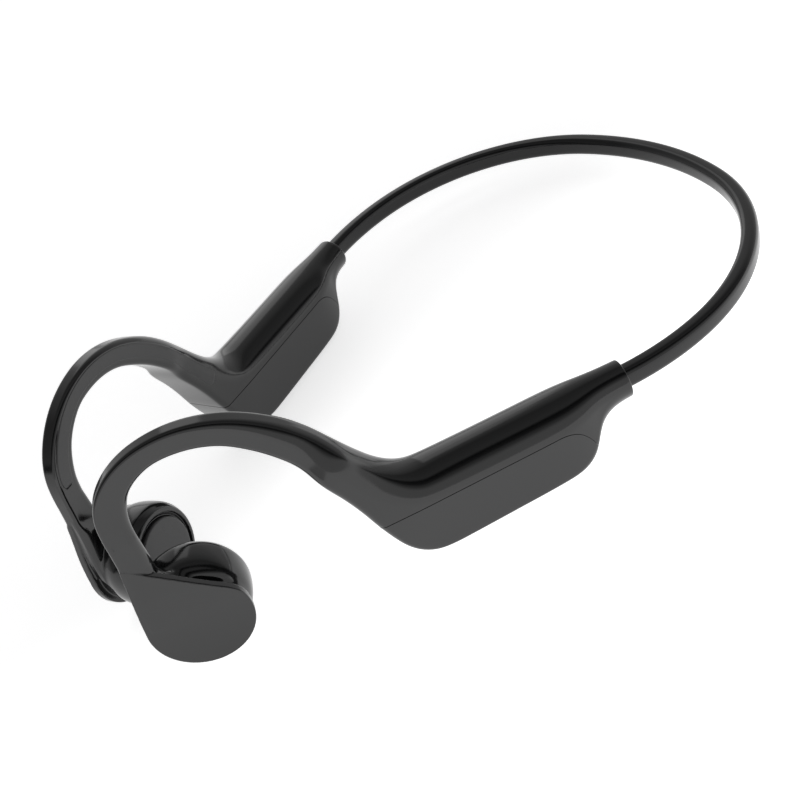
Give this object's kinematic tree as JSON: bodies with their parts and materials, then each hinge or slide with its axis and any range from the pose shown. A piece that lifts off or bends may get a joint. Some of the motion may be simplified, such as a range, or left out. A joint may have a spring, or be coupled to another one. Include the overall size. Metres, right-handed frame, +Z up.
{
  "type": "bone conduction headphones",
  "caption": "Open-ear wireless headphones: transducers on ear hooks, battery and electronics pods behind the ears, joined by a thin springy neckband.",
  "frame": {"origin": "centre of the bounding box in plan, on the table the set stands on", "axes": "+Z up, +X to the wearer's left, +Y to the back of the neckband; left and right ear pieces mirror each other about X = 0"},
  "size_m": [0.1026, 0.1532, 0.0481],
  "materials": {
    "shell": "satin black moulded shell with a fine spark-eroded grain",
    "soft_skin": "smooth black silicone over-moulding",
    "pad_skin": "soft matt black silicone, flat skin contact face",
    "button_cap": "satin black button cap",
    "steel": "bare stamped steel",
    "magnet": "nickel plated magnet",
    "copper": "enamelled copper winding",
    "memory_alloy": "bright memory alloy wire",
    "cable_jacket": "thin black wire jacket",
    "flex_circuit": "amber polyimide flex",
    "battery_pouch": "silver laminate pouch",
    "circuit_board": "green solder mask",
    "chip": "black moulded component",
    "gold": "gold plated contact",
    "light_pipe": "frosted clear light pipe"
  },
  "bodies": {
    "left_side": {"battery": "battery_pouch", "battery_board": "circuit_board", "left_contact_pad": "pad_skin", "left_driver_magnet": "magnet", "left_driver_spring": "steel", "left_driver_yoke": "steel", "left_frame": "shell", "left_hook_flex": "flex_circuit", "left_hook_inlay": "soft_skin", "left_pod_cover": "shell", "left_seam_gasket": "soft_skin", "left_suspension_ring": "soft_skin", "left_transducer_housing": "shell", "left_voice_coil": "copper", "left_wire_anchor": "steel", "memory_wire": "memory_alloy", "neckband_cable": "cable_jacket", "neckband_skin": "soft_skin"},
    "right_side": {"bluetooth_chips": "chip", "board_posts": "shell", "board_screws": "steel", "charge_pins": "gold", "charge_port": "shell", "led_light_pipe": "light_pipe", "main_board": "circuit_board", "microphones": "steel", "right_contact_pad": "pad_skin", "right_driver_magnet": "magnet", "right_driver_spring": "steel", "right_driver_yoke": "steel", "right_frame": "shell", "right_hook_flex": "flex_circuit", "right_hook_inlay": "soft_skin", "right_pod_cover": "shell", "right_seam_gasket": "soft_skin", "right_suspension_ring": "soft_skin", "right_transducer_housing": "shell", "right_voice_coil": "copper", "right_wire_anchor": "steel", "tact_switches": "chip"},
    "multifunction_button": {"multifunction_button": "button_cap"},
    "volume_down_button": {"volume_down_button": "button_cap"},
    "volume_up_button": {"volume_up_button": "button_cap"}
  },
  "joints": [
    {"name": "band_flex", "type": "hinge", "parent": "left_side", "child": "right_side", "pos_m": [0, 0.0748, 0.0058], "axis": [0, -0.0872, -0.9962], "range_deg": [-1, 55], "stiffness_Nm_per_rad": 0.15, "deforming": ["neckband_skin", "memory_wire", "neckband_cable"]},
    {"name": "volume_down_press", "type": "slide", "parent": "right_side", "child": "volume_down_button", "axis": [0, 0.0872, 0.9962], "range_m": [0, 0.0003], "stiffness_N_per_m": 1500, "springref_m": -0.0003},
    {"name": "multifunction_press", "type": "slide", "parent": "right_side", "child": "multifunction_button", "axis": [0, 0.0872, 0.9962], "range_m": [0, 0.0003], "stiffness_N_per_m": 1500, "springref_m": -0.0003},
    {"name": "volume_up_press", "type": "slide", "parent": "right_side", "child": "volume_up_button", "axis": [0, 0.0872, 0.9962], "range_m": [0, 0.0003], "stiffness_N_per_m": 1500, "springref_m": -0.0003}
  ]
}
